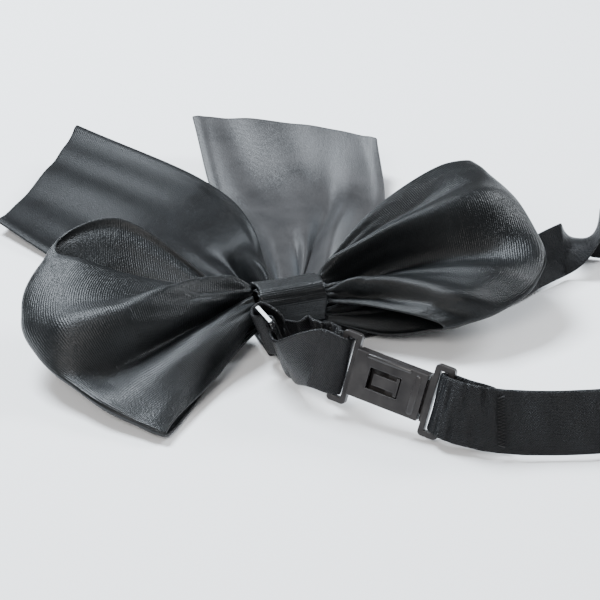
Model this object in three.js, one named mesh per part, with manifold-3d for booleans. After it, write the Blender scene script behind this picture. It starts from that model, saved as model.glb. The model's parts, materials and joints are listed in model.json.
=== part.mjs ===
// Ready-tied satin bow tie with two tails, an adjustable neckband and a side-release clip.
// Millimetres. The bow lies on its back on the plane z = 0: +X runs along the bow towards its
// right loop, +Y towards the free ends of the tails, +Z out through the front of the knot.
import * as THREE from 'three';
import * as BufferGeometryUtils from 'three/addons/utils/BufferGeometryUtils.js';
import Module from 'manifold-3d';

const wasm = await Module();
wasm.setup();

// ---- driving dimensions -------------------------------------------------------------------
const GAP = 0.3;                 // clearance between neighbouring pieces
const PLY = 1.0;                 // thickness of the doubled satin ribbon
const WRAP_WIDTH = 20;           // knot wrap, along the bow
const WRAP_DEPTH = 14;           // knot wrap, across the bow
const WRAP_BASE = 5;             // height of the knot wrap's underside
const WRAP_TOP = 19.5;
const STRAP_WIDTH = 17;
const STRAP_THICK = 1.0;
const PLATE_LENGTH = 21;         // clip housing without its ring
const PLATE_WIDTH = 13;
const PLATE_THICK = 4.4;
const RING_OUTER = 20.2;         // strap rings of both clip halves, across the strap
const RING_LENGTH = 5.6;         // strap rings, along the strap
const RING_BAR = 1.6;            // width of every ring bar
const RING_THICK = 2;
const BLADE_REACH = 11;          // how far the blade enters the housing
const BLADE_WIDTH = 9;
const BLADE_THICK = 1.4;
const SHOULDER = 1;              // cross-piece between the blade and its ring
const END_WALL = 2.5;            // solid end of the housing, beyond the blade's tunnel
const WINDOW_DEPTH = 1.3;
const TONGUE = { left: -5.6, right: 3.6, half: 1.6, slot: 1.3, thick: 0.9, sunk: 0.1, root: 1 };
const GRIP = { at: 8, width: 1.2, depth: 0.4, length: 5 };   // shallow finger groove
const CLIP_CENTRE = [10.2, -51.2, 11.8];
const CLIP_HEADING = -49;        // degrees about +Z, from +X to the clip's blade end
const CLIP_PITCH = 6;            // degrees, the blade end lower
const CLIP_LEAN = 20;            // degrees, the upper edge leaning back
const SLIDER_CENTRE = [-10.6, -18.3, 11.4];
const SLIDER_ACROSS = [-0.36, -0.2, 0.91];    // along the slider's bars
const SLIDER_TRAVEL = [0.18, -0.97, -0.142];  // along the strap, away from the slider's fold
const SLIDER_OUTER = 22.6;
const SLIDER_LENGTH = 10.8;
const SLIDER_BAR = 1.3;
const SLIDER_WALL = 1.7;         // the two short sides that join the bars
const SLIDER_THICK = 1.4;

// ---- materials ----------------------------------------------------------------------------
function material(color, roughness, metalness = 0) {
  return new THREE.MeshStandardMaterial({ color, roughness, metalness });
}
const satin = () => material(0x24272b, 0.35);
const webbing = () => material(0x2a2a2e, 0.5);
const thread = () => material(0x1c1c1f, 0.7);
const clipPlastic = () => material(0x2e2a2b, 0.4);
const sliderPlastic = () => material(0x0c0c0e, 0.2);

// ---- helpers ------------------------------------------------------------------------------
const vec = (p) => new THREE.Vector3(...p);

function named(name, geometry, mat) {
  const mesh = new THREE.Mesh(geometry, mat);
  mesh.name = name;
  return mesh;
}

function toSolid(geometry) {
  const bare = geometry.clone();
  bare.deleteAttribute('normal');
  bare.deleteAttribute('uv');
  const merged = BufferGeometryUtils.mergeVertices(bare, 1e-4);
  const vertProperties = new Float32Array(merged.attributes.position.array);
  const triVerts = new Uint32Array(merged.index.array);
  return new wasm.Manifold(new wasm.Mesh({ numProp: 3, vertProperties, triVerts }));
}

function toGeometry(solid) {
  const mesh = solid.getMesh();
  const geometry = new THREE.BufferGeometry();
  geometry.setAttribute('position', new THREE.BufferAttribute(mesh.vertProperties, 3));
  geometry.setIndex(new THREE.BufferAttribute(mesh.triVerts, 1));
  geometry.computeVertexNormals();
  return geometry;
}

// A box by its size and its centre.
function block(size, centre = [0, 0, 0]) {
  return new THREE.BoxGeometry(...size).translate(...centre);
}

function join(...geometries) {
  return toGeometry(geometries.map(toSolid).reduce((sum, next) => sum.add(next)));
}

function cut(base, ...tools) {
  return toGeometry(tools.map(toSolid).reduce((rest, next) => rest.subtract(next), toSolid(base)));
}

// Closes two equal grids of points, a face and the same face moved through the thickness.
function closedGrid(top, bottom) {
  const rows = top.length;
  const cols = top[0].length;
  const positions = [...top.flat(), ...bottom.flat()].flatMap((p) => [p.x, p.y, p.z]);
  const at = (side, i, j) => side * rows * cols + i * cols + j;
  const faces = [];
  const quad = (a, b, c, d) => faces.push(a, b, c, a, c, d);
  for (let i = 0; i < rows - 1; i++) {
    for (let j = 0; j < cols - 1; j++) {
      quad(at(0, i, j), at(0, i + 1, j), at(0, i + 1, j + 1), at(0, i, j + 1));
      quad(at(1, i, j), at(1, i, j + 1), at(1, i + 1, j + 1), at(1, i + 1, j));
    }
    quad(at(0, i, 0), at(1, i, 0), at(1, i + 1, 0), at(0, i + 1, 0));
    quad(at(0, i, cols - 1), at(0, i + 1, cols - 1), at(1, i + 1, cols - 1), at(1, i, cols - 1));
  }
  for (let j = 0; j < cols - 1; j++) {
    quad(at(0, 0, j), at(0, 0, j + 1), at(1, 0, j + 1), at(1, 0, j));
    quad(at(0, rows - 1, j), at(1, rows - 1, j), at(1, rows - 1, j + 1), at(0, rows - 1, j + 1));
  }
  const geometry = new THREE.BufferGeometry();
  geometry.setAttribute('position', new THREE.Float32BufferAttribute(positions, 3));
  geometry.setIndex(faces);
  geometry.computeVertexNormals();
  return geometry;
}

// A ribbon through rails. Each rail crosses the ribbon and is given by its low edge, its
// middle and its high edge; smooth curves run along the ribbon from rail to rail.
function ribbon(rails, thickness, rows, cols) {
  const quadratic = ([low, middle, high], t) => {
    const control = vec(middle).multiplyScalar(2).addScaledVector(vec(low), -0.5)
      .addScaledVector(vec(high), -0.5);
    return new THREE.QuadraticBezierCurve3(vec(low), control, vec(high)).getPoint(t);
  };
  const lines = [];
  for (let j = 0; j < cols; j++) {
    const across = rails.map((rail) => quadratic(rail, j / (cols - 1)));
    const along = new THREE.CatmullRomCurve3(across, false, 'centripetal');
    lines.push(Array.from({ length: rows }, (_, i) => along.getPoint(i / (rows - 1))));
  }
  const face = Array.from({ length: rows }, (_, i) => lines.map((line) => line[i]));
  const offset = (side) => face.map((row, i) => row.map((p, j) => {
    const ahead = face[Math.min(i + 1, rows - 1)][j].clone().sub(face[Math.max(i - 1, 0)][j]);
    const beside = row[Math.min(j + 1, cols - 1)].clone().sub(row[Math.max(j - 1, 0)]);
    const normal = ahead.cross(beside).normalize();
    return p.clone().addScaledVector(normal, side * thickness / 2);
  }));
  return closedGrid(offset(1), offset(-1));
}

// A flat strap through stations: its centre, the direction of its width and, where the
// strap is pinched, a width of its own.
function strap(stations, thickness, steps) {
  const path = new THREE.CatmullRomCurve3(stations.map((s) => vec(s.at)), false, 'centripetal');
  const halves = stations.map((s) => (s.width ?? STRAP_WIDTH) / 2);
  const sides = stations.map((s) => vec(s.across).normalize());
  const top = [];
  const bottom = [];
  for (let i = 0; i <= steps; i++) {
    const u = i / steps;
    const k = Math.min(Math.floor(u * (stations.length - 1)), stations.length - 2);
    const share = u * (stations.length - 1) - k;
    const half = sides[k].clone().lerp(sides[k + 1], share)
      .setLength(THREE.MathUtils.lerp(halves[k], halves[k + 1], share));
    const normal = new THREE.Vector3().crossVectors(path.getTangent(u), half).normalize();
    const centre = path.getPoint(u);
    const corner = (side, face) => centre.clone().addScaledVector(half, side)
      .addScaledVector(normal, face * thickness / 2);
    top.push([corner(-1, 1), corner(1, 1)]);
    bottom.push([corner(-1, -1), corner(1, -1)]);
  }
  return closedGrid(top, bottom);
}

// ---- bow ----------------------------------------------------------------------------------
// Rails run from the knot along the front ply, round the fold at the wing's end and back.
function leftLoop() {
  return ribbon([
    [[-10.4, -3.5, 10.5], [-10.4, 0.5, 16.5], [-10.4, 5, 16.5]],
    [[-27, -19, 4], [-38, -4, 19], [-31, 15, 15]],
    [[-45, -36, 3.2], [-67, -2, 17], [-55, 24, 24]],
    [[-49, -41, 2.4], [-76, 2, 12], [-61, 30, 25]],
    [[-46, -38, 1.2], [-70, 4, 8], [-58, 36, 27]],
    [[-29, -18.6, 1.8], [-42, 10, 6], [-40, 40, 28]],
    [[-10.4, -3.5, 7], [-10.4, 0.5, 7.2], [-10.4, 5, 9]],
  ], PLY, 29, 11);
}

function rightLoop() {
  return ribbon([
    [[10.4, -5, 12.5], [10.4, 0, 16.5], [10.4, 5, 16.5]],
    [[22, -13, 13], [38, 1, 21], [32, 17, 28]],
    [[34, -22, 11.4], [65, -10, 23], [62, 31, 33]],
    [[38, -25, 9.7], [76, -14, 17.5], [74, 34, 32]],
    [[35, -22, 7.4], [70, -8, 14], [68, 40, 27]],
    [[25, -14, 4], [42, 3, 12.5], [40, 32, 20]],
    [[10.4, -5, 7], [10.4, 0, 7.2], [10.4, 5, 9]],
  ], PLY, 29, 11);
}

// The ribbon pinched together inside the knot wrap.
function gatheredCore() {
  const outline = new THREE.Shape();
  outline.absellipse(0, 0, 4.6, 5.2, 0, Math.PI * 2);
  const core = new THREE.ExtrudeGeometry(outline, {
    depth: WRAP_WIDTH - 0.4, bevelEnabled: false, curveSegments: 10,
  });
  core.translate(0, 0, -WRAP_WIDTH / 2 + 0.2).rotateZ(Math.PI / 2).rotateY(Math.PI / 2);
  return core.translate(0, 0, (WRAP_BASE + WRAP_TOP) / 2);
}


// A closed band round the bow's axis.
function ring(outer, inner, width) {
  outer.holes.push(inner);
  const band = new THREE.ExtrudeGeometry(outer, {
    depth: width, bevelEnabled: false, curveSegments: 8,
  });
  return band.translate(0, 0, -width / 2).rotateZ(Math.PI / 2).rotateY(Math.PI / 2)
    .translate(0, 0, (WRAP_BASE + WRAP_TOP) / 2);
}

function roundedOutline(path, depth, height, radius) {
  const x = depth / 2;
  const y = height / 2;
  path.moveTo(-x + radius, -y);
  path.lineTo(x - radius, -y).absarc(x - radius, -y + radius, radius, -Math.PI / 2, 0);
  path.lineTo(x, y - radius).absarc(x - radius, y - radius, radius, 0, Math.PI / 2);
  path.lineTo(-x + radius, y).absarc(-x + radius, y - radius, radius, Math.PI / 2, Math.PI);
  path.lineTo(-x, -y + radius).absarc(-x + radius, -y + radius, radius, Math.PI, 1.5 * Math.PI);
  return path;
}

function knotWrap() {
  const height = WRAP_TOP - WRAP_BASE;
  const outer = roundedOutline(new THREE.Shape(), WRAP_DEPTH, height, 4);
  const inner = roundedOutline(new THREE.Path(), WRAP_DEPTH - 2 * PLY, height - 2 * PLY, 3);
  return ring(outer, inner, WRAP_WIDTH);
}

function bindingThread() {
  const outer = new THREE.Shape().absellipse(0, 0, 5.6, 5.95, 0, Math.PI * 2);
  const inner = new THREE.Path().absellipse(0, 0, 4.95, 5.55, 0, Math.PI * 2);
  return ring(outer, inner, 4);
}

// ---- tails --------------------------------------------------------------------------------
// Both ribbons pinched flat where they are sewn under the knot.
function tailGather() {
  return ribbon([
    [[-9, -2, 3.5], [0, -2, 3.9], [9, -2, 3.5]],
    [[-9, 8, 3.5], [0, 8, 3.9], [9, 8, 3.5]],
  ], PLY, 3, 7);
}

function leftTail() {
  return ribbon([
    [[-9, 8.8, 3.5], [-5, 8.8, 3.8], [-0.4, 8.8, 3.8]],
    [[-13, 14, 2.8], [-6.5, 15.5, 7.5], [0.2, 15, 8]],
    [[-30, 36, 1.4], [-14, 40, 7.5], [3.8, 42, 16.5]],
    [[-52, 66, 1.1], [-24, 80, 4], [3, 93, 11]],
    [[-68, 100, 4], [-46, 128, 6], [-27, 155, 12]],
  ], PLY, 25, 9);
}

function rightTail() {
  return ribbon([
    [[0.4, 8.8, 3.8], [4.7, 8.8, 3.8], [9, 8.8, 3.5]],
    [[2, 14, 2.6], [8.5, 16, 8], [15, 14, 3]],
    [[6.2, 42, 1.5], [20, 46, 8], [36, 40, 2.5]],
    [[6, 88, 1.5], [33, 86, 5], [60, 68, 2.5]],
    [[14, 144, 14], [44, 129, 13], [71, 101, 14]],
  ], PLY, 25, 9);
}

// ---- clip ---------------------------------------------------------------------------------
// Local axes: +X from the housing's ring to the blade's ring, +Y to the back, +Z across.
const clip = new THREE.Group();
clip.position.set(...CLIP_CENTRE);
clip.rotation.set(...[-CLIP_LEAN, CLIP_PITCH, CLIP_HEADING].map(THREE.MathUtils.degToRad), 'ZYX');
clip.updateMatrixWorld();
const clipPoint = (x, y = 0, z = 0) => clip.localToWorld(vec([x, y, z])).toArray();
const clipAcross = vec(clipPoint(0, 0, 1)).sub(vec(clipPoint(0, 0, 0))).toArray();

const PLATE_HALF = PLATE_LENGTH / 2;
const BAR_X = PLATE_HALF + RING_LENGTH - RING_BAR / 2;

// A strap ring beyond the plate on the side given by sign, open for the strap.
function strapRing(sign) {
  const middle = sign * (PLATE_HALF + RING_LENGTH / 2);
  const inside = [RING_LENGTH - 2 * RING_BAR, RING_THICK + 1, RING_OUTER - 2 * RING_BAR];
  return cut(block([RING_LENGTH, RING_THICK, RING_OUTER], [middle, 0, 0]),
    block(inside, [middle, 0, 0]));
}

function clipHousing() {
  const tunnel = block([PLATE_LENGTH, BLADE_THICK + 2 * GAP, BLADE_WIDTH + 2 * GAP], [END_WALL, 0, 0]);
  const front = -PLATE_THICK / 2;
  const windowSize = [TONGUE.right - TONGUE.left, 2 * WINDOW_DEPTH, 2 * (TONGUE.half + TONGUE.slot)];
  const window = block(windowSize, [(TONGUE.right + TONGUE.left) / 2, front, 0]);
  const grip = block([GRIP.width, 2 * GRIP.depth, GRIP.length], [GRIP.at, front, 0]);
  const body = join(block([PLATE_LENGTH, PLATE_THICK, PLATE_WIDTH]), strapRing(-1),
    block([1, RING_THICK, PLATE_WIDTH], [-PLATE_HALF, 0, 0]));
  return cut(body, tunnel, window, grip);
}

// The tongue's root fills the window's blade end; its free end points at the housing's ring.
function latchTongue() {
  const right = TONGUE.right - GAP;
  const left = TONGUE.left + TONGUE.slot;
  const depth = -PLATE_THICK / 2 + TONGUE.sunk + TONGUE.thick / 2;
  const blade = block([right - left, TONGUE.thick, 2 * TONGUE.half], [(right + left) / 2, depth, 0]);
  const rootWidth = 2 * (TONGUE.half + TONGUE.slot - GAP);
  return join(blade,
    block([TONGUE.root, TONGUE.thick, rootWidth], [right - TONGUE.root / 2, depth, 0]));
}

function clipBlade() {
  const tip = PLATE_HALF - BLADE_REACH;
  const end = PLATE_HALF + GAP + SHOULDER;
  const shank = block([end - tip, BLADE_THICK, BLADE_WIDTH], [(tip + end) / 2, 0, 0]);
  const shoulder = block([SHOULDER, RING_THICK, PLATE_WIDTH], [end - SHOULDER / 2, 0, 0]);
  return join(shank, shoulder, strapRing(1).translate(GAP + SHOULDER / 2, 0, 0));
}

// ---- slider -------------------------------------------------------------------------------
// Local axes: x along the strap towards the clip, y to the back, z along the bars.
const sliderAlong = vec(SLIDER_TRAVEL).normalize();
const sliderAcross = vec(SLIDER_ACROSS).normalize();
const sliderBack = new THREE.Vector3().crossVectors(sliderAcross, sliderAlong).normalize();
const sliderFrame = new THREE.Matrix4().makeBasis(sliderAlong, sliderBack, sliderAcross)
  .setPosition(...SLIDER_CENTRE);
const sliderPoint = (x, y) => vec([x, y, 0]).applyMatrix4(sliderFrame).toArray();

function sliderBody() {
  const slotLength = (SLIDER_LENGTH - 3 * SLIDER_BAR) / 2;
  const slotAt = (SLIDER_BAR + slotLength) / 2;
  const slot = [slotLength, SLIDER_THICK + 1, SLIDER_OUTER - 2 * SLIDER_WALL];
  const frame = cut(block([SLIDER_LENGTH, SLIDER_THICK, SLIDER_OUTER]),
    block(slot, [-slotAt, 0, 0]), block(slot, [slotAt, 0, 0]));
  return frame.applyMatrix4(sliderFrame);
}

// ---- neckband -----------------------------------------------------------------------------
const FLAT = [0, -1, 0];
const UPRIGHT = [0.05, 0.3, 0.95];
const BAR_WRAP = RING_THICK / 2 + STRAP_THICK / 2 + 3.2 * GAP;   // strap centre behind the bar's
const BAR_TURN = RING_BAR / 2 + STRAP_THICK / 2 + 3.2 * GAP;     // and beside it

// From the knot's back, flat under the right loop, up on its edge, through one half twist and
// round the neck, then round the blade's outer bar to the end that is sewn down behind it.
function neckStrap() {
  const barX = BAR_X + GAP + SHOULDER / 2;
  return strap([
    { at: [-9, 0, 0.5], across: FLAT },
    { at: [12, 0, 0.5], across: FLAT },
    { at: [30, 0, 0.5], across: FLAT },
    { at: [44, 0, 0.55], across: FLAT },
    { at: [52, 0.1, 0.8], across: FLAT },
    { at: [61, 0.5, 2.8], across: [0, -0.98, -0.2] },
    { at: [70, 1.4, 5.2], across: [-0.03, -0.85, -0.5] },
    { at: [84, 4.5, 8], across: [-0.13, -0.5, -0.86] },
    { at: [96, 9, 8.3], across: [-0.1, -0.48, -0.87] },
    { at: [105, 12.2, 8.5], across: [0.3, -0.9, 0.3], width: 14 },
    { at: [114, 15, 8.6], across: [0.08, 0.36, 0.93] },
    { at: [138, 13, 8.8], across: UPRIGHT },
    { at: [156, -12, 8.8], across: UPRIGHT },
    { at: [154, -46, 8.8], across: UPRIGHT },
    { at: [130, -74, 8.8], across: UPRIGHT },
    { at: [95, -86, 8.6], across: [0.1, 0.4, 0.9] },
    { at: [57, -82.5, 8.6], across: [0.18, 0.48, 0.86] },
    { at: [33, -74.5, 8.9], across: [0.15, 0.44, 0.89] },
    { at: clipPoint(barX + 6, -2.4), across: clipAcross },
    { at: clipPoint(barX, -BAR_WRAP), across: clipAcross, width: 16.4 },
    { at: clipPoint(barX - BAR_TURN, 0), across: clipAcross, width: 16.2 },
    { at: clipPoint(barX, BAR_WRAP), across: clipAcross, width: 16.4 },
    { at: clipPoint(barX + 6, 1.4), across: clipAcross },
    { at: [33.2, -72.5, 8.4], across: [-0.05, 0.44, 0.89] },
  ], STRAP_THICK, 190);
}

// From the knot's back round the slider's outer bars to the housing's bar, and back behind
// it to the end that is sewn on behind the slider.
function adjustableStrap() {
  const across = SLIDER_ACROSS;
  return strap([
    { at: [-5, 1, 2.1], across: [-1, 0, 0], width: 8 },
    { at: [-5, -4, 2.3], across: [-1, 0, 0], width: 8 },
    { at: [-3, -9, 4.6], across: [-1, 0.3, 0.3], width: 8 },
    { at: sliderPoint(-1.5, 5), across, width: 12 },
    { at: sliderPoint(-7.3, 2.4), across },
    { at: sliderPoint(-7, -0.8), across },
    { at: sliderPoint(-4.75, -1.85), across },
    { at: sliderPoint(0, 1.85), across },
    { at: sliderPoint(4.75, -1.85), across },
    { at: sliderPoint(8.5, -1.6), across },
    { at: clipPoint(-BAR_X - 6, -2.6), across: clipAcross },
    { at: clipPoint(-BAR_X, -BAR_WRAP), across: clipAcross, width: 16.4 },
    { at: clipPoint(-BAR_X + BAR_TURN, 0), across: clipAcross, width: 16.2 },
    { at: clipPoint(-BAR_X, BAR_WRAP), across: clipAcross, width: 16.4 },
    { at: clipPoint(-BAR_X - 7, 4.5), across: clipAcross },
    { at: sliderPoint(7, 6), across },
    { at: sliderPoint(2, 4.6), across, width: 14 },
  ], STRAP_THICK, 120);
}

// Bar tack between the two layers of the neck strap's end.
function neckBarTack() {
  return strap([
    { at: [31.4, -72.7, 8.4], across: [0.06, 0.44, 0.89], width: 12 },
    { at: [33.2, -73.7, 8.4], across: [0.06, 0.44, 0.89], width: 12 },
  ], 0.3, 2);
}

// Bar tack that holds the adjustable strap's end on the slider.
function sliderBarTack() {
  return block([1.8, 0.6, 9], [3, 3.1, 0]).applyMatrix4(sliderFrame);
}

// Stitches that hold the tails and the neck strap under the knot.
function backStitching() {
  return block([4, 5, 1.3], [6.5, 0, 1.3 + 0.65]);
}

// ---- assembly -----------------------------------------------------------------------------
const bowTie = new THREE.Group();
clip.add(
  named('clip_housing', clipHousing(), clipPlastic()),
  named('latch_tongue', latchTongue(), clipPlastic()),
  named('clip_blade', clipBlade(), clipPlastic()),
);
bowTie.add(
  named('left_loop', leftLoop(), satin()),
  named('right_loop', rightLoop(), satin()),
  named('gathered_core', gatheredCore(), satin()),
  named('binding_thread', bindingThread(), thread()),
  named('knot_wrap', knotWrap(), satin()),
  named('tail_gather', tailGather(), satin()),
  named('left_tail', leftTail(), satin()),
  named('right_tail', rightTail(), satin()),
  named('back_stitching', backStitching(), thread()),
  named('neck_strap', neckStrap(), webbing()),
  named('neck_bar_tack', neckBarTack(), thread()),
  named('adjustable_strap', adjustableStrap(), webbing()),
  named('slider_bar_tack', sliderBarTack(), thread()),
  named('slider', sliderBody(), sliderPlastic()),
  clip,
);

export default bowTie;
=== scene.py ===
"""Ready-tied satin bow tie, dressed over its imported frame. Metres; +X along the bow, +Y to the tails."""
import json
import math

import bmesh
import bpy
import numpy as np
from mathutils import Matrix, Vector


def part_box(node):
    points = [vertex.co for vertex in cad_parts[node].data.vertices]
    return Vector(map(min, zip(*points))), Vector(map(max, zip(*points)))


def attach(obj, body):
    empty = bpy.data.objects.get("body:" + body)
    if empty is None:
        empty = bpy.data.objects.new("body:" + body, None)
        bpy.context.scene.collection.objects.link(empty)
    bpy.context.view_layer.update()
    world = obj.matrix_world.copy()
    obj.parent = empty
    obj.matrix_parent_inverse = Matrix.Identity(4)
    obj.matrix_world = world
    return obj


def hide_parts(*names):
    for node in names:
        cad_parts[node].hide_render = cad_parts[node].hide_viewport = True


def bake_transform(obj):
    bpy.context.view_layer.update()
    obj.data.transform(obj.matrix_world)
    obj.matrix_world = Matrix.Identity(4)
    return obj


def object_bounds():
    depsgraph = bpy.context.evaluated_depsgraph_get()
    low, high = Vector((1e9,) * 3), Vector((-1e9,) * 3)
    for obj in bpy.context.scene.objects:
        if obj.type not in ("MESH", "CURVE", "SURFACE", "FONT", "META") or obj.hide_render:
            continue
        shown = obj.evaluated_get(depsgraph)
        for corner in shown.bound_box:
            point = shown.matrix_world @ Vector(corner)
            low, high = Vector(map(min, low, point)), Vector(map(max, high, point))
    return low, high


MM = 0.001
CAMERA_AZIMUTH = -20.0      # degrees, from looking along +Y
CAMERA_ELEVATION = 28.0
CAMERA_DISTANCE = 0.45
CAMERA_LENS = 93.0
CAMERA_SHIFT = (0.020, -0.034)
FLOOR_GAP = 0.2 * MM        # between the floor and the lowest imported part
PLY = 0.8 * MM              # finished thickness of the doubled ribbon
STRAP = 0.9 * MM            # finished thickness of a strap
STRAP_WIDTH = 17 * MM
WRAP_PLY = 0.9 * MM         # finished thickness of the knot's wrap
THIN_PLY = 0.5 * MM         # finished thickness of the cloth gathered inside the knot

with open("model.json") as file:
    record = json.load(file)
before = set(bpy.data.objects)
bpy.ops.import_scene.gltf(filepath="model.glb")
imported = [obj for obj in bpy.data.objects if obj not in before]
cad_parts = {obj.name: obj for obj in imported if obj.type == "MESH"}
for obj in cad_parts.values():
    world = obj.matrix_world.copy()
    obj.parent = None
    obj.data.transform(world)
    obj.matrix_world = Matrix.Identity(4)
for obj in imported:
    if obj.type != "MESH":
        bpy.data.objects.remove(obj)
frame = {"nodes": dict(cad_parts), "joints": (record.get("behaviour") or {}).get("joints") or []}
bounds_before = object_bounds()


def add_object(name, data):
    item = bpy.data.objects.new(name, data)
    bpy.context.scene.collection.objects.link(item)
    return item


def centre_and_half(node):
    """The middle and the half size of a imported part's box."""
    low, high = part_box(node)
    return (low + high) / 2, (high - low) / 2


# ---- camera, light, floor ---------------------------------------------------------------------
def knot_top():
    low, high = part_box("knot_wrap")
    return Vector(((low.x + high.x) / 2, (low.y + high.y) / 2, high.z))


def add_camera():
    data = bpy.data.cameras.new("camera")
    data.lens = CAMERA_LENS
    data.sensor_width = 36
    data.shift_x, data.shift_y = CAMERA_SHIFT
    data.dof.use_dof = False
    data.clip_start = 0.01
    camera = add_object("camera", data)
    azimuth = math.radians(CAMERA_AZIMUTH)
    elevation = math.radians(CAMERA_ELEVATION)
    back = Vector((math.sin(azimuth) * math.cos(elevation), -math.cos(azimuth) * math.cos(elevation),
                   math.sin(elevation)))
    camera.location = knot_top() + back * CAMERA_DISTANCE
    camera.rotation_euler = back.to_track_quat("Z", "Y").to_euler()
    bpy.context.scene.camera = camera


def add_lights():
    """A soft sky and three area lamps: (name, offset from the knot, size, watts, colour)."""
    world = bpy.data.worlds.new("studio")
    world.use_nodes = True
    sky = world.node_tree.nodes["Background"]
    sky.inputs["Color"].default_value = (0.95, 0.97, 1.0, 1)
    sky.inputs["Strength"].default_value = 0.33
    bpy.context.scene.world = world
    centre = knot_top()
    lamps = [
        ("key", (-0.20, 0.50, 0.80), 0.36, 25.0, (0.84, 0.92, 1.0)),
        ("fill", (-0.50, -0.55, 0.60), 0.35, 6.0, (1.0, 0.98, 0.96)),
        ("rim", (0.80, 0.15, 0.55), 0.3, 8.0, (0.9, 0.95, 1.0)),
    ]
    for name, offset, size, power, colour in lamps:
        light = bpy.data.lights.new(name, "AREA")
        light.size = size
        light.energy = power
        light.color = colour
        lamp = add_object(name, light)
        lamp.location = centre + Vector(offset)
        lamp.rotation_euler = (lamp.location - centre).to_track_quat("Z", "Y").to_euler()


def add_floor():
    bm = bmesh.new()
    bmesh.ops.create_grid(bm, x_segments=8, y_segments=8, size=2.5)
    mesh = bpy.data.meshes.new("floor")
    bm.to_mesh(mesh)
    floor = add_object("floor", mesh)
    floor.location.z = bounds_before[0][2] - FLOOR_GAP
    paper = node_material("paper")
    shader = paper.node_tree.nodes["Principled BSDF"]
    shader.inputs["Base Color"].default_value = (0.97, 0.97, 0.97, 1)
    shader.inputs["Roughness"].default_value = 0.9
    mesh.materials.append(paper)


# ---- materials --------------------------------------------------------------------------------
def node_material(name):
    material = bpy.data.materials.new(name)
    material.use_nodes = True
    return material


def link(tree, source, output, target, socket):
    tree.links.new(source.outputs[output], target.inputs[socket])


def math_node(tree, operation, *values):
    """A math node's output, where each value is a number or another node's output."""
    node = tree.nodes.new("ShaderNodeMath")
    node.operation = operation
    for socket, value in zip(node.inputs, values):
        if isinstance(value, (int, float)):
            socket.default_value = value
        else:
            tree.links.new(value, socket)
    return node.outputs[0]


def ribbed(tree, coordinate, spacing):
    """A wave from 0 to 1 that repeats every spacing along one coordinate in metres."""
    turns = math_node(tree, "MULTIPLY", coordinate, 2 * math.pi / spacing)
    return math_node(tree, "MULTIPLY_ADD", math_node(tree, "SINE", turns), 0.5, 0.5)


def noise(tree, scale, detail):
    """Noise fixed to the piece, with its scale in features per metre."""
    place = tree.nodes.new("ShaderNodeTexCoord")
    texture = tree.nodes.new("ShaderNodeTexNoise")
    texture.inputs["Scale"].default_value = scale
    texture.inputs["Detail"].default_value = detail
    link(tree, place, "Object", texture, "Vector")
    return texture.outputs["Fac"]


def tint(tree, amount, dark, light, start, end):
    """A base colour that goes from dark to light as amount goes from start to end."""
    ramp = tree.nodes.new("ShaderNodeValToRGB")
    ramp.color_ramp.elements[0].color = (*dark, 1)
    ramp.color_ramp.elements[1].color = (*light, 1)
    ramp.color_ramp.elements[0].position = start
    ramp.color_ramp.elements[1].position = end
    tree.links.new(amount, ramp.inputs["Fac"])
    link(tree, ramp, "Color", tree.nodes["Principled BSDF"], "Base Color")


def vary_roughness(tree, amount, roughness, spread):
    """A roughness that follows amount, by half the spread to each side."""
    rough = math_node(tree, "MULTIPLY_ADD", amount, spread, roughness - spread / 2)
    tree.links.new(rough, tree.nodes["Principled BSDF"].inputs["Roughness"])


def emboss(tree, height, strength, depth):
    """Bumps that follow height, depth metres deep at full strength."""
    bump = tree.nodes.new("ShaderNodeBump")
    bump.inputs["Strength"].default_value = strength
    bump.inputs["Distance"].default_value = depth
    tree.links.new(height, bump.inputs["Height"])
    link(tree, bump, "Normal", tree.nodes["Principled BSDF"], "Normal")


def satin(name, dark, light, rib, roughness, gloss, sheen, twill=0.0, relief=0.05 * MM):
    """Woven satin: fine ribs across the ribbon, finer yarns along it and a faint uneven dye."""
    material = node_material(name)
    tree = material.node_tree
    weave = tree.nodes.new("ShaderNodeUVMap")
    weave.uv_map = "weave"
    split = tree.nodes.new("ShaderNodeSeparateXYZ")
    link(tree, weave, "UV", split, 0)
    along, beside = split.outputs["X"], split.outputs["Y"]
    yarn_spacing, yarn_height, grain_height = rib * 0.55, 0.45, 3.2
    ribs = ribbed(tree, math_node(tree, "MULTIPLY_ADD", beside, twill, along), rib)
    woven = math_node(tree, "MULTIPLY_ADD", ribbed(tree, beside, yarn_spacing), yarn_height, ribs)
    grain = noise(tree, 2100, 2)
    blotch = noise(tree, 90, 4)
    tone = math_node(tree, "MULTIPLY_ADD", grain, 0.5, math_node(tree, "MULTIPLY", blotch, 0.5))
    tint(tree, tone, dark, light, 0.3, 0.75)
    vary_roughness(tree, blotch, roughness, 0.16)
    emboss(tree, math_node(tree, "MULTIPLY_ADD", grain, grain_height, woven), 0.6, relief)
    shader = tree.nodes["Principled BSDF"]
    tangent = tree.nodes.new("ShaderNodeTangent")
    tangent.direction_type = "UV_MAP"
    tangent.uv_map = "weave"
    link(tree, tangent, "Tangent", shader, "Tangent")
    shader.inputs["Anisotropic"].default_value = 0.4
    shader.inputs["Anisotropic Rotation"].default_value = 0.25
    shader.inputs["Specular IOR Level"].default_value = gloss
    shader.inputs["Sheen Weight"].default_value = sheen
    shader.inputs["Sheen Roughness"].default_value = 0.35
    shader.inputs["Sheen Tint"].default_value = (0.6, 0.68, 0.75, 1)
    return material


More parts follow.
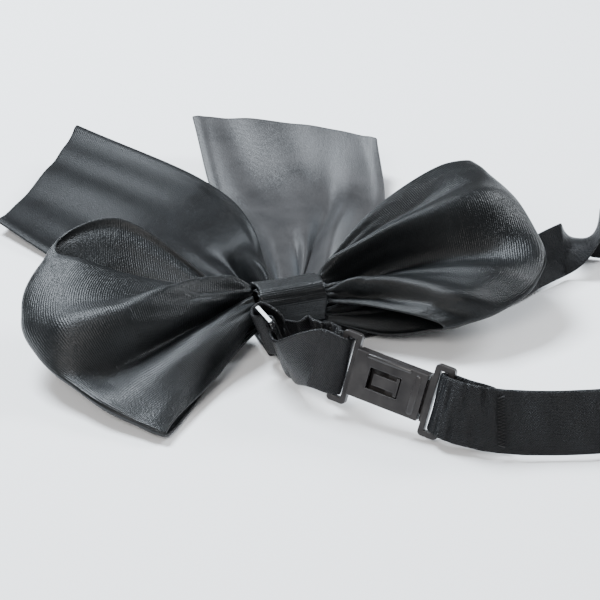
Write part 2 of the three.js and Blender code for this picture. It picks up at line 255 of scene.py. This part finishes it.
def moulded(name, dark, light, roughness, depth):
    """Moulded plastic with a faint grain, small scuffs and a painted highlight on its sharp edges."""
    material = node_material(name)
    tree = material.node_tree
    # Painted highlight: sharp convex edges (high pointiness) are coloured lighter, added to the random
    # scuffs.
    ridge = tree.nodes.new("ShaderNodeNewGeometry")
    painted_edge_highlight = tree.nodes.new("ShaderNodeMapRange")
    painted_edge_highlight.inputs["From Min"].default_value = 0.5
    painted_edge_highlight.inputs["From Max"].default_value = 0.62
    link(tree, ridge, "Pointiness", painted_edge_highlight, "Value")
    scuffs = noise(tree, 240, 5)
    tint(tree, math_node(tree, "MULTIPLY_ADD", painted_edge_highlight.outputs["Result"], 0.5, scuffs), dark, light, 0.35, 1)
    vary_roughness(tree, scuffs, roughness, 0.2)
    emboss(tree, noise(tree, 2600, 3), 0.25, depth)
    return material


def all_materials():
    """Every material, by the pieces that it is for."""
    return {
        "bow": satin("bow_satin", (0.001, 0.0012, 0.0014), (0.007, 0.0085, 0.0095), rib=0.62 * MM,
                     roughness=0.35, gloss=0.30, sheen=0.008, relief=0.07 * MM),
        "left_tail": satin("left_tail_satin", (0.001, 0.001, 0.0013), (0.008, 0.009, 0.010),
                           rib=0.7 * MM, roughness=0.38, gloss=0.14, sheen=0.01),
        # The right tail's satin is coloured about six times lighter than the bow's: painted light on the
        # tail the lamps fall on. The tails' gather under the knot uses it too.
        "right_tail": satin("tail_satin", (0.008, 0.008, 0.0085), (0.045, 0.043, 0.044),
                            rib=0.7 * MM, roughness=0.42, gloss=0.4, sheen=0.15),
        "strap": satin("strap_satin", (0.0008, 0.0008, 0.001), (0.006, 0.0065, 0.008), rib=0.7 * MM,
                       roughness=0.38, gloss=0.2, sheen=0.02, twill=1, relief=0.2 * MM),
        "short_strap": satin("short_strap_satin", (0.001, 0.001, 0.0015), (0.012, 0.012, 0.0135),
                             rib=0.7 * MM, roughness=0.36, gloss=0.24, sheen=0.01, twill=1,
                             relief=0.2 * MM),
        "thread": moulded("thread", (0.002, 0.002, 0.002), (0.014, 0.014, 0.015), 0.6, 0.05 * MM),
        "clip": moulded("clip_plastic", (0.008, 0.0065, 0.007), (0.030, 0.027, 0.026), 0.34,
                        0.03 * MM),
        "slider": moulded("slider_plastic", (0.001, 0.001, 0.0012), (0.006, 0.006, 0.007), 0.16,
                          0.008 * MM),
    }


# ---- shapes -----------------------------------------------------------------------------------
def catmull(points, count):
    """Centripetal Catmull-Rom through points, an array of (rails, ..., 3), sampled count times."""
    points = np.asarray(points, float)
    ends = 2 * points[0] - points[1], 2 * points[-1] - points[-2]
    chain = np.concatenate([ends[0][None], points, ends[1][None]])
    spans = len(points) - 1
    out = []
    for i in range(count):
        u = i / (count - 1) * spans
        k = min(int(u), spans - 1)
        w = u - k
        p0, p1, p2, p3 = chain[k:k + 4]
        gaps = [np.linalg.norm(b - a, axis=-1, keepdims=True) ** 0.5 + 1e-9
                for a, b in ((p0, p1), (p1, p2), (p2, p3))]
        d1, d2, d3 = gaps
        t1 = ((p1 - p0) / d1 - (p2 - p0) / (d1 + d2) + (p2 - p1) / d2) * d2
        t2 = ((p2 - p1) / d2 - (p3 - p1) / (d2 + d3) + (p3 - p2) / d3) * d2
        out.append(p1 + t1 * w + (3 * (p2 - p1) - 2 * t1 - t2) * w ** 2
                   + (2 * (p1 - p2) + t1 + t2) * w ** 3)
    return np.array(out)


def rail_surface(rails, rows, cols):
    """Points (rows, cols, 3) on the ribbon through rails of (low edge, middle, high edge)."""
    rails = np.array(rails, float) * MM
    low, middle, high = rails[:, 0], rails[:, 1], rails[:, 2]
    control = 2 * middle - 0.5 * low - 0.5 * high
    t = np.linspace(0, 1, cols)[None, :, None]
    across = (1 - t) ** 2 * low[:, None] + 2 * t * (1 - t) * control[:, None] + t ** 2 * high[:, None]
    return catmull(across, rows)


def surface_normals(points):
    """Unit normals of a grid of points, on the side of its run crossed with its width."""
    along = np.gradient(points, axis=0)
    beside = np.gradient(points, axis=1)
    normal = np.cross(along, beside)
    return normal / (np.linalg.norm(normal, axis=-1, keepdims=True) + 1e-12)


def grid_piece(name, points, material, thickness):
    """A cloth grid with its weave laid out in metres, given its thickness and rounded edges."""
    rows, cols = points.shape[:2]
    faces = [(i * cols + j, (i + 1) * cols + j, (i + 1) * cols + j + 1, i * cols + j + 1)
             for i in range(rows - 1) for j in range(cols - 1)]
    mesh = bpy.data.meshes.new(name)
    mesh.from_pydata(points.reshape(-1, 3).tolist(), [], faces)
    steps = np.linalg.norm(np.diff(points, axis=0), axis=-1).mean(axis=1)
    length = np.concatenate([[0], np.cumsum(steps)])
    widest = np.linalg.norm(np.diff(points, axis=1), axis=-1).sum(axis=1).max()
    weave = mesh.uv_layers.new(name="weave")
    for loop in mesh.loops:
        i, j = divmod(loop.vertex_index, cols)
        weave.data[loop.index].uv = (length[i], widest * j / (cols - 1))
    mesh.materials.append(material)
    piece = add_object(name, mesh)
    solid = piece.modifiers.new("thickness", "SOLIDIFY")
    solid.thickness = thickness
    solid.offset = 0
    rounded = piece.modifiers.new("rounded", "SUBSURF")
    rounded.levels = 1
    rounded.render_levels = 1
    return finish_mesh(piece)


def finish_mesh(piece):
    """Applies the modifiers and shades the piece smooth."""
    depsgraph = bpy.context.evaluated_depsgraph_get()
    mesh = bpy.data.meshes.new_from_object(piece.evaluated_get(depsgraph))
    piece.modifiers.clear()
    piece.data = mesh
    for polygon in mesh.polygons:
        polygon.use_smooth = True
    return piece


def seat(points, node):
    """Moves and scales points so that their box is the CAD node's box."""
    low, high = (np.array(corner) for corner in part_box(node))
    flat = points.reshape(-1, 3)
    mine_low, mine_high = flat.min(0) - PLY / 2, flat.max(0) + PLY / 2
    return low + (points - mine_low) * (high - low) / (mine_high - mine_low)


def smoothstep(value):
    value = np.clip(value, 0, 1)
    return value * value * (3 - 2 * value)


def shares(points):
    """How far along (a column) and how far across (a row) each point of a grid is, from 0 to 1."""
    rows, cols = points.shape[:2]
    return np.linspace(0, 1, rows)[:, None], np.linspace(0, 1, cols)[None, :]


def pressed(points, height):
    """Points moved along their normals by heights in millimetres."""
    return points + surface_normals(points) * (height * MM)[..., None]


def folds(points, tracks, gathers, seed, side, both_ends=False):
    """Presses folds into a ribbon gathered at the knot, at its first end or at both.

    Each track is (height, width across, [(along, across), ...]); heights and gathers are in
    millimetres towards the given side, and the other sizes are shares of the ribbon.
    """
    s, t = shares(points)
    height = np.zeros(points.shape[:2])
    for amount, width, track in tracks:
        along, across = np.array(track).T
        middle = np.interp(s, along, across)
        reach = smoothstep((s - along[0]) / 0.06 + 0.2)
        reach = reach * smoothstep((along[-1] * 1.2 - s) / (0.5 * along[-1]))
        height += amount * reach * np.exp(-((t - middle) / width) ** 2)
    rng = np.random.default_rng(seed)
    for near in [s, 1 - s] if both_ends else [s]:
        for k in range(6):
            waves = 3.2 + 1.5 * k + rng.uniform(-0.4, 0.4)
            fade = np.exp(-near / (0.13 + 0.06 * rng.uniform())) * np.minimum(1, near / 0.02)
            height += gathers * fade * np.sin(2 * math.pi * waves * t + rng.uniform(0, 6)) / (1 + 0.4 * k)
    for k in range(5):
        ripple = np.sin(2 * math.pi * ((1.2 + k) * t + rng.uniform(0.6, 2.4) * s) + rng.uniform(0, 6))
        height += 0.28 * np.minimum(1, 3 * s) * ripple / (1 + 0.5 * k)
    hem, hem_width, hem_height = 0.035, 0.022, 0.45
    lip = np.exp(-((t - hem) / hem_width) ** 2) + np.exp(-((t - 1 + hem) / hem_width) ** 2)
    height += hem_height * lip * smoothstep(s / 0.15)
    return pressed(points, side * height)


def band(stations, steps, cols, sway, seed):
    """A strap's points (steps, cols, 3) through stations of (at, across, width), swaying a little."""
    centre = catmull(np.array([at for at, _, _ in stations], float) * MM, steps)
    sides = np.array([np.array(a, float) / np.linalg.norm(a) for _, a, _ in stations])
    place = np.linspace(0, len(stations) - 1, steps)
    half = np.stack([np.interp(place, range(len(stations)), sides[:, k]) for k in range(3)], -1)
    width = np.interp(place, range(len(stations)), [w for _, _, w in stations])
    half *= (width * MM / 2 / np.linalg.norm(half, axis=1))[:, None]
    t = np.linspace(-1, 1, cols)[None, :, None]
    points = centre[:, None] + half[:, None] * t
    rng = np.random.default_rng(seed)
    run = np.linspace(0, 1, steps)[:, None]
    wave = sum(np.sin(2 * math.pi * (rng.uniform(3, 14) * run + rng.uniform(-0.6, 0.6) * t[..., 0])
                      + rng.uniform(0, 6)) for _ in range(5)) / 2.5
    return pressed(points, sway * wave)


def ruffle(points, stations, start, end):
    """Puckers a strap between two of its stations, most along its upper edge."""
    run, t = shares(points)
    share = (run * (stations - 1) - start) / (end - start)
    inside = smoothstep(share / 0.3) * smoothstep((1 - share) / 0.3)
    puckers = 1.1 * np.sin(2 * math.pi * (2.6 * share + 0.3 * t))
    puckers = puckers + 0.5 * np.sin(2 * math.pi * (6.1 * share - 0.4 * t))
    return pressed(points, inside * (0.3 + 0.7 * t) * (puckers + 1.6))


def slack(points, start, end, height):
    """Soft uneven waves across a strap, between two shares of its length."""
    run, t = shares(points)
    inside = smoothstep((run - start) / 0.02) * smoothstep((end - run) / 0.02)
    wave = np.sin(2 * math.pi * (38 * run + 0.5 * t)) + 0.7 * np.sin(2 * math.pi * (71 * run - 0.8 * t))
    return pressed(points, inside * wave * height)


def tube(name, path, radius, material):
    """A thread of round section along a path of points in metres."""
    curve = bpy.data.curves.new(name, "CURVE")
    curve.dimensions = "3D"
    curve.bevel_depth = radius
    curve.bevel_resolution = 2
    curve.use_fill_caps = True
    spline = curve.splines.new("POLY")
    spline.points.add(len(path) - 1)
    for point, at in zip(spline.points, path):
        point.co = (*at, 1)
    line = add_object(name + "_line", curve)
    mesh = bpy.data.meshes.new_from_object(line.evaluated_get(bpy.context.evaluated_depsgraph_get()))
    bpy.data.objects.remove(line)
    mesh.materials.clear()
    mesh.materials.append(material)
    return add_object(name, mesh)


def joint_axis(name):
    axis = next(j["axis"] for j in frame["joints"] if j["name"] == name)
    return Vector(axis).normalized()


def local_axes(length, across):
    """A rotation whose columns are a part's length, its back and its width."""
    return Matrix((length, across.cross(length).normalized(), across)).transposed()


def moulded_copy(name, node, axes, material, edge, corner):
    """The CAD part's own shape with rounded outer corners and eased edges, and its lowest local sizes."""
    bm = bmesh.new()
    bm.from_mesh(frame["nodes"][node].data)
    bmesh.ops.remove_doubles(bm, verts=bm.verts, dist=0.002 * MM)
    bmesh.ops.dissolve_limit(bm, angle_limit=math.radians(2), verts=bm.verts, edges=bm.edges)
    turn = axes.transposed()
    local = {v: turn @ v.co for v in bm.verts}
    low = [min(p[k] for p in local.values()) for k in range(3)]
    high = [max(p[k] for p in local.values()) for k in range(3)]
    outer = []
    for e in bm.edges:
        a, b = (local[v] for v in e.verts)
        upright = abs((b - a).normalized()[1]) > 0.95
        at_side = min(abs(a[2] - low[2]), abs(a[2] - high[2])) < 0.3 * MM
        if upright and at_side:
            outer.append(e)
    bmesh.ops.bevel(bm, geom=outer, offset=corner, segments=5, profile=0.5, affect="EDGES")
    mesh = bpy.data.meshes.new(name)
    bm.to_mesh(mesh)
    mesh.materials.clear()
    mesh.materials.append(material)
    piece = add_object(name, mesh)
    eased = piece.modifiers.new("eased", "BEVEL")
    eased.width = edge
    eased.segments = 3
    eased.limit_method = "ANGLE"
    eased.angle_limit = math.radians(35)
    flat_faces(finish_mesh(piece))
    return piece, Vector(low)


def flat_faces(piece):
    """Shades the broad faces flat and keeps the eased edges smooth."""
    areas = sorted(polygon.area for polygon in piece.data.polygons)
    broad = areas[int(0.75 * len(areas))]
    for polygon in piece.data.polygons:
        polygon.use_smooth = polygon.area < broad


def rounded_bar(start, end, radius, across, flatten, material):
    """A moulded rail with round ends, flattened along one direction."""
    bm = bmesh.new()
    bmesh.ops.create_uvsphere(bm, u_segments=20, v_segments=14, radius=radius)
    run = end - start
    for v in bm.verts:
        v.co.z += math.copysign(run.length / 2 - radius, v.co.z) if abs(v.co.z) > 1e-9 else 0
        v.co.x *= flatten
    side = across.normalized()
    axes = Matrix((side, run.normalized().cross(side), run.normalized())).transposed().to_4x4()
    bm.transform(Matrix.Translation((start + end) / 2) @ axes)
    mesh = bpy.data.meshes.new("rail")
    bm.to_mesh(mesh)
    mesh.materials.append(material)
    for polygon in mesh.polygons:
        polygon.use_smooth = True
    return add_object("rail", mesh)


def merge(target, *others):
    """Joins other objects' meshes into target."""
    bm = bmesh.new()
    bm.from_mesh(target.data)
    for other in others:
        bm.from_mesh(other.data)
        bpy.data.objects.remove(other)
    bm.to_mesh(target.data)


# ---- bow --------------------------------------------------------------------------------------
# Each ribbon's rails run across it, from one gathered end on: (low edge, middle, high edge), in mm.
LEFT_LOOP = [
    [[-10.4, -3.5, 10.5], [-10.4, 0.5, 16.5], [-10.4, 5, 16.5]],
    [[-27, -19, 4], [-38, -4, 19], [-31, 15, 15]],
    [[-45, -36, 3.2], [-67, -2, 17], [-55, 24, 24]],
    [[-49, -41, 2.4], [-76, 2, 12], [-61, 30, 25]],
    [[-46, -38, 1.2], [-70, 4, 8], [-58, 36, 27]],
    [[-29, -18.6, 1.8], [-42, 10, 6], [-40, 40, 28]],
    [[-10.4, -3.5, 7], [-10.4, 0.5, 7.2], [-10.4, 5, 9]],
]
RIGHT_LOOP = [
    [[10.4, -5, 12.5], [10.4, 0, 16.5], [10.4, 5, 16.5]],
    [[22, -13, 13], [38, 1, 21], [32, 17, 28]],
    [[34, -22, 11.4], [65, -10, 23], [62, 31, 33]],
    [[38, -25, 9.7], [76, -14, 17.5], [74, 34, 32]],
    [[35, -22, 7.4], [70, -8, 14], [68, 40, 27]],
    [[25, -14, 4], [42, 3, 12.5], [40, 32, 20]],
    [[10.4, -5, 7], [10.4, 0, 7.2], [10.4, 5, 9]],
]
LEFT_TAIL = [
    [[-9, 8.8, 3.5], [-5, 8.8, 3.8], [-0.4, 8.8, 3.8]],
    [[-13, 14, 2.8], [-6.5, 15.5, 7.5], [0.2, 15, 8]],
    [[-30, 36, 1.4], [-14, 40, 7.5], [3.8, 42, 16.5]],
    [[-52, 66, 1.1], [-24, 80, 4], [3, 93, 11]],
    [[-68, 100, 4], [-46, 128, 6], [-27, 155, 12]],
]
RIGHT_TAIL = [
    [[0.4, 8.8, 3.8], [4.7, 8.8, 3.8], [9, 8.8, 3.5]],
    [[2, 14, 2.6], [8.5, 16, 8], [15, 14, 3]],
    [[6.2, 42, 1.5], [20, 46, 8], [36, 40, 2.5]],
    [[6, 88, 1.5], [33, 86, 5], [60, 68, 2.5]],
    [[14, 144, 14], [44, 129, 13], [71, 101, 14]],
]
# Folds: height (mm), width across, then points (along, across) that the fold runs through.
LEFT_FOLDS = [
    (4.2, 0.10, [(0, 0.88), (0.05, 0.86), (0.10, 0.78), (0.14, 0.66), (0.19, 0.56), (0.23, 0.5),
                 (0.42, 0.47)]),
    (-6.0, 0.085, [(0, 0.5), (0.09, 0.36), (0.17, 0.3), (0.29, 0.25), (0.42, 0.24)]),
    (-1.5, 0.08, [(0, 0.98), (0.1, 0.84), (0.15, 0.79), (0.24, 0.74)]),
    (1.2, 0.07, [(0.12, 0.95), (0.2, 0.93), (0.3, 0.9)]),
    (0.9, 0.08, [(0, 0.12), (0.1, 0.13), (0.25, 0.12)]),
    (-1.4, 0.12, [(0.5, 0.5), (0.7, 0.55), (0.95, 0.5)]),
]
RIGHT_FOLDS = [
    (-2.4, 0.05, [(0, 0.93), (0.08, 0.86), (0.15, 0.85), (0.3, 0.89)]),
    (4.4, 0.085, [(0, 0.77), (0.11, 0.75), (0.21, 0.75), (0.31, 0.78), (0.44, 0.82)]),
    (-6.5, 0.13, [(0, 0.52), (0.11, 0.47), (0.21, 0.5), (0.32, 0.55), (0.4, 0.57)]),
    (3.4, 0.07, [(0, 0.36), (0.1, 0.2), (0.19, 0.16), (0.29, 0.12), (0.4, 0.14)]),
    (-1.2, 0.04, [(0, 0.22), (0.1, 0.1), (0.2, 0.075), (0.4, 0.07)]),
    (-1.4, 0.12, [(0.5, 0.5), (0.7, 0.55), (0.95, 0.5)]),
]
LEFT_TAIL_FOLDS = [
    (7.5, 0.12, [(0, 0.8), (0.15, 0.82), (0.28, 0.85), (0.4, 0.86)]),
    (-5.0, 0.09, [(0, 0.56), (0.2, 0.6), (0.35, 0.62), (0.45, 0.64)]),
    (3.0, 0.12, [(0, 0.42), (0.3, 0.44), (0.55, 0.48), (0.75, 0.5)]),
    (2.0, 0.10, [(0, 0.2), (0.3, 0.25), (0.6, 0.3)]),
]
RIGHT_TAIL_FOLDS = [
    (-6.0, 0.11, [(0, 0.52), (0.2, 0.5), (0.4, 0.48), (0.5, 0.46)]),
    (4.5, 0.07, [(0, 0.86), (0.3, 0.83), (0.52, 0.81), (0.8, 0.79)]),
    (-4.0, 0.07, [(0, 0.7), (0.3, 0.68), (0.52, 0.69), (0.7, 0.73), (0.8, 0.75)]),
    (2.6, 0.1, [(0, 0.25), (0.25, 0.25), (0.5, 0.2), (0.7, 0.18)]),
]
# Pleats round the knot's wrap: angle from +Y (radians), height (mm) and width (radians).
PLEATS = [(1.25, -0.35, 0.10), (1.9, 0.2, 0.2), (3.7, 0.3, 0.16), (4.1, -0.35, 0.12),
          (2.5, -0.25, 0.14), (3.1, -0.2, 0.12)]


def place(piece, node, body, slot):
    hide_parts(node)
    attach(piece, body)


def add_loop(name, rails, tracks, material, seed, side):
    points = seat(rail_surface(rails, 181, 81), name)
    piece = grid_piece(name + "_satin", folds(points, tracks, 0.5, seed, side, True), material, PLY)
    place(piece, name, "bow", "bow_satin")


def add_tail(name, rails, tracks, material, seed):
    points = seat(rail_surface(rails, 161, 69), name)
    piece = grid_piece(name + "_satin", folds(points, tracks, 0.7, seed, -1), material, PLY)
    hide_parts(name)
    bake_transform(piece)


def add_tail_gather(material):
    """The tails' ends, pleated flat under the knot."""
    low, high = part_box("tail_gather")
    rows, cols = 25, 121
    t = np.linspace(0, 1, cols)[None, :]
    s = np.linspace(0, 1, rows)[:, None]
    height = 0.32 * np.sin(2 * math.pi * 9 * t + 1.5 * s) + 0.15 * np.sin(2 * math.pi * 21 * t + 4 * s)
    points = np.stack([low.x + (high.x - low.x) * t + 0 * s, low.y + (high.y - low.y) * s + 0 * t,
                       (low.z + high.z) / 2 + height * MM], -1)
    piece = grid_piece("tail_gather_satin", points, material, THIN_PLY)
    place(piece, "tail_gather", "bow", "tail_satin")


def round_knot():
    """Angles round the knot as a column and places along it, from -1 to 1, as a row."""
    return np.linspace(0, 2 * math.pi, 140, endpoint=False)[:, None], np.linspace(-1, 1, 31)[None, :]


def squared(wave):
    """A sine or cosine swollen towards the corners, so that a circle becomes a rounded square."""
    return np.sign(wave) * np.abs(wave) ** 0.74


def add_knot_wrap(material):
    centre, half = centre_and_half("knot_wrap")
    turn, across = round_knot()
    pleat = np.zeros_like(turn + across)
    for at, height, width in PLEATS:
        drift = at + 0.05 * across
        pleat += height * np.exp(-((turn - drift % (2 * math.pi)) / width) ** 2)
    flare = 0.25 * across ** 4 * np.sin(3 * turn + across) - 0.25 * (1 - across ** 2) + pleat
    inset = 0.8
    points = np.stack([centre.x + (half.x - 0.2 * MM) * across + 0.25 * MM * np.sin(5 * turn),
                       centre.y + (half.y + (flare - inset) * MM) * squared(np.cos(turn)),
                       centre.z + (half.z + (flare - inset) * MM) * squared(np.sin(turn))], -1)
    wrap = grid_piece("knot_wrap_satin", np.concatenate([points, points[:1]]), material, WRAP_PLY)
    place(wrap, "knot_wrap", "bow", "bow_satin")


def add_gathered_core(material):
    """The bow's ribbon where it is pinched inside the wrap, ridged and waisted."""
    centre, half = centre_and_half("gathered_core")
    turn, across = round_knot()
    ridges = 1 - 0.1 * (0.5 + 0.5 * np.sin(15 * turn + 2 * across)) - 0.25 * np.exp(-(across / 0.25) ** 2)
    points = np.stack([centre.x + half.x * across + 0 * turn, centre.y + half.y * ridges * np.cos(turn),
                       centre.z + half.z * ridges * np.sin(turn)], -1)
    core = grid_piece("gathered_core_satin", np.concatenate([points, points[:1]]), material, THIN_PLY)
    place(core, "gathered_core", "bow", "bow_satin")


def add_binding_thread(thread):
    """Six turns of thread round the pinch."""
    centre, half = centre_and_half("binding_thread")
    steps, radius, tightness = 360, 0.26 * MM, 0.97
    turns = np.linspace(0, 2 * math.pi * 6, steps)
    path = np.stack([centre.x + (half.x - radius) * np.linspace(-1, 1, steps),
                     centre.y + (half.y - radius) * np.cos(turns) * tightness,
                     centre.z + (half.z - radius) * np.sin(turns) * tightness], -1)
    binding = tube("binding_thread_turns", path, radius, thread)
    place(binding, "binding_thread", "bow", "thread")


def add_back_stitching(thread):
    """Crossed stitches through the tails and the neck strap under the knot."""
    low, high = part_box("back_stitching")
    radius, stitches, margin = 0.22 * MM, 9, 0.08
    path = []
    for k in range(stitches):
        x = low.x + (high.x - low.x) * (margin + (1 - 2 * margin) * k / (stitches - 1))
        near, far = low.y + radius, high.y - radius
        if k % 2 == 0:
            near, far = far, near
        path += [(x, near, low.z + radius), (x, near, high.z - radius), (x, far, high.z - radius),
                 (x, far, low.z + radius)]
    place(tube("back_stitches", path, radius, thread), "back_stitching", "bow", "thread")


# ---- neckband ---------------------------------------------------------------------------------
# Directions across the neck strap.
FLAT = (0, -1, 0)
UPRIGHT = (0.05, 0.3, 0.95)
LEAN = (0.15, 0.44, 0.89)
# Millimetres in the clip's own axes: a strap's turn round the bar at each end of the clip.
BLADE_BAR = 16.1            # from the clip's centre to the blade's bar
HOUSING_BAR = 15.3          # from the clip's centre to the housing's bar
BAR_SIDE = 2.46             # from a bar's middle to the strap before and behind it
BAR_END = 2.26              # from a bar's middle to the strap's fold
WIDE = STRAP_WIDTH / MM     # a strap's width, then its width beside a bar and at its fold round one
BESIDE_BAR = 16.4
AT_FOLD = 16.2
CLIP_OFFSET = 0.4 * MM      # from the latched clip's centre to the middle of its whole length
# Ribs on the housing's face: each end's distance from the ring's end and from the centre line.
FACE = 2.2                  # from the clip's mid plane to the housing's face
RAIL = ((8.8, 5.75), (22.0, 5.75))
STEP = ((24.2, -5.6), (24.2, 5.4))


def clip_frame():
    """The clip's own axes and centre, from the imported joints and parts."""
    axes = local_axes(-joint_axis("clip_release"), joint_axis("latch_flex"))
    turn = axes.transposed()
    spans = []
    for node in ("clip_housing", "clip_blade"):
        spans += [turn @ v.co for v in frame["nodes"][node].data.vertices]
    middle = [(min(p[k] for p in spans) + max(p[k] for p in spans)) / 2 for k in range(3)]
    middle[0] -= CLIP_OFFSET
    return axes, Vector(middle)


def slider_frame():
    """The slider's own axes and centre: along its travel, to its back and along its bars."""
    points = np.array([v.co for v in frame["nodes"]["slider"].data.vertices])
    along = joint_axis("adjuster_slide")
    spread = np.linalg.eigh(np.cov((points - points.mean(0)).T))[1][:, -1]
    across = Vector(spread) * (1 if spread[2] > 0 else -1)
    across = (across - along * across.dot(along)).normalized()
    axes = local_axes(along, across)
    local = np.array(axes.transposed()) @ points.T
    return axes, Vector((local.min(1) + local.max(1)) / 2)


def at_local(part_frame, x, y):
    """A point on a part's centre plane, from millimetres in its own axes to the shared frame's."""
    axes, middle = part_frame
    return tuple(axes @ (Vector((x, y, 0)) + middle / MM))


def add_neck_strap(material, clip):
    """From under the knot round the neck to the clip's blade, round its bar and back on itself."""
    across = tuple(clip[0].col[2])
    stations = [
        ((-9, 0, 0.5), FLAT, WIDE), ((12, 0, 0.5), FLAT, WIDE), ((30, 0, 0.5), FLAT, WIDE),
        ((44, 0, 0.55), FLAT, WIDE), ((52, 0.1, 0.8), FLAT, WIDE), ((61, 0.5, 2.8), (0, -0.98, -0.2), WIDE),
        ((70, 1.4, 5.2), (-0.03, -0.85, -0.5), WIDE), ((84, 4.5, 8), (-0.13, -0.5, -0.86), WIDE),
        ((96, 9.0, 8.3), (-0.1, -0.48, -0.87), WIDE), ((105, 12.2, 8.5), (0.3, -0.9, 0.3), WIDE * 0.8),
        ((114, 15.0, 8.6), (0.08, 0.36, 0.93), WIDE), ((138, 13, 8.8), UPRIGHT, WIDE),
        ((156, -12, 8.8), UPRIGHT, WIDE), ((154, -46, 8.8), UPRIGHT, WIDE),
        ((130, -74, 8.8), UPRIGHT, WIDE), ((95, -86, 8.6), (0.1, 0.4, 0.9), WIDE),
        ((57, -82.5, 8.6), (0.18, 0.48, 0.86), WIDE), ((33, -74.5, 8.9), LEAN, WIDE),
        (at_local(clip, BLADE_BAR + 6, -2.4), across, WIDE),
        (at_local(clip, BLADE_BAR, -BAR_SIDE), across, BESIDE_BAR),
        (at_local(clip, BLADE_BAR - BAR_END, 0), across, AT_FOLD),
        (at_local(clip, BLADE_BAR, BAR_SIDE), across, BESIDE_BAR),
        (at_local(clip, BLADE_BAR + 6, 1.4), across, WIDE),
        ((33.2, -72.5, 8.4), (-0.05, 0.44, 0.89), WIDE),
    ]
    points = slack(band(stations, 600, 15, 0.3, 4), 0.62, 0.86, 0.16)
    piece = grid_piece("neck_strap_satin", points, material, STRAP)
    place(piece, "neck_strap", "bow", "strap_satin")


def add_adjustable_strap(material, clip, slider):
    """From the knot through the slider, round the housing's bar and back to the slider."""
    across = tuple(slider[0].col[2])
    held = tuple(clip[0].col[2])
    stations = [
        ((-5, 1, 2.1), (-1, 0, 0), 8), ((-5, -4, 2.3), (-1, 0, 0), 8), ((-3, -9, 4.6), (-1, 0.3, 0.3), 8),
        (at_local(slider, -1.5, 5), across, 12), (at_local(slider, -7.3, 2.4), across, WIDE),
        (at_local(slider, -7, -0.8), across, WIDE), (at_local(slider, -4.75, -1.85), across, WIDE),
        (at_local(slider, 0, 1.85), across, WIDE), (at_local(slider, 4.75, -1.85), across, WIDE),
        (at_local(slider, 8.5, -1.6), across, WIDE), (at_local(clip, -HOUSING_BAR - 6, -2.6), held, WIDE),
        (at_local(clip, -HOUSING_BAR, -BAR_SIDE), held, BESIDE_BAR),
        (at_local(clip, -HOUSING_BAR + BAR_END, 0), held, AT_FOLD),
        (at_local(clip, -HOUSING_BAR, BAR_SIDE), held, BESIDE_BAR),
        (at_local(clip, -HOUSING_BAR - 7, 4.5), held, WIDE),
        (at_local(slider, 7, 6), across, WIDE), (at_local(slider, 2, 4.6), across, 14),
    ]
    points = ruffle(band(stations, 440, 19, 0.14, 9), len(stations), 13.2, 15.2)
    piece = grid_piece("adjustable_strap_satin", points, material, STRAP)
    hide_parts("adjustable_strap")
    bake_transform(piece)


def zigzag(middle, reach, swing, turns):
    """A bar tack's zigzag in metres: reach to each side of its middle, swinging across that line."""
    return [middle + reach * (2 * k / turns - 1) + swing * (0.5 if k % 2 else -0.5)
            for k in range(turns + 1)]


def add_tacks(thread, slider):
    radius = 0.2 * MM
    lean = Vector(LEAN).normalized()                    # across the neck strap
    run = Vector((-0.95, 0.32, 0)).normalized()         # along it
    outward = run.cross(lean).normalized()
    outward *= -1 if outward.y > 0 else 1
    middle = centre_and_half("neck_bar_tack")[0] + outward * 1.9 * MM
    path = zigzag(middle, lean * 6.6 * MM, run * 1.7 * MM, 30)
    place(tube("neck_bar_tack_stitches", path, radius, thread), "neck_bar_tack", "bow", "thread")
    axes = slider[0]
    path = zigzag(centre_and_half("slider_bar_tack")[0], axes.col[2] * 4.3 * MM, axes.col[0] * 1.4 * MM, 24)
    place(tube("slider_bar_tack_stitches", path, radius, thread), "slider_bar_tack", "bow", "thread")


def add_clip(plastic, clip):
    axes, middle = clip
    housing, low = moulded_copy("clip_housing_moulding", "clip_housing", axes, plastic, 0.32 * MM, 1.1 * MM)

    def on_face(x, z):
        return axes @ Vector((x * MM + low.x, middle.y - FACE * MM, z * MM + middle.z))

    rail = rounded_bar(on_face(*RAIL[0]), on_face(*RAIL[1]), 0.62 * MM, axes.col[1], 0.6, plastic)
    step = rounded_bar(on_face(*STEP[0]), on_face(*STEP[1]), 0.9 * MM, axes.col[1], 0.28, plastic)
    merge(housing, rail, step)
    place(housing, "clip_housing", "clip_half", "clip_plastic")
    tongue, _ = moulded_copy("latch_tongue_moulding", "latch_tongue", axes, plastic, 0.18 * MM, 0.25 * MM)
    place(tongue, "latch_tongue", "tongue", "clip_plastic")
    blade, _ = moulded_copy("clip_blade_moulding", "clip_blade", axes, plastic, 0.3 * MM, 1.1 * MM)
    place(blade, "clip_blade", "bow", "clip_plastic")


def add_slider(plastic, slider):
    piece, _ = moulded_copy("slider_moulding", "slider", slider[0], plastic, 0.5 * MM, 1.6 * MM)
    place(piece, "slider", "adjuster", "slider_plastic")


def main():
    add_camera()
    add_lights()
    add_floor()
    look = all_materials()
    add_loop("left_loop", LEFT_LOOP, LEFT_FOLDS, look["bow"], 3, -1)
    add_loop("right_loop", RIGHT_LOOP, RIGHT_FOLDS, look["bow"], 5, 1)
    add_tail("left_tail", LEFT_TAIL, LEFT_TAIL_FOLDS, look["left_tail"], 7)
    add_tail("right_tail", RIGHT_TAIL, RIGHT_TAIL_FOLDS, look["right_tail"], 11)
    # The gather takes the right tail's satin, painted lighter.
    add_tail_gather(look["right_tail"])
    add_knot_wrap(look["bow"])
    add_gathered_core(look["bow"])
    add_binding_thread(look["thread"])
    add_back_stitching(look["thread"])
    clip, slider = clip_frame(), slider_frame()
    add_neck_strap(look["strap"], clip)
    add_adjustable_strap(look["short_strap"], clip, slider)
    add_tacks(look["thread"], slider)
    add_clip(look["clip"], clip)
    add_slider(look["slider"], slider)


main()
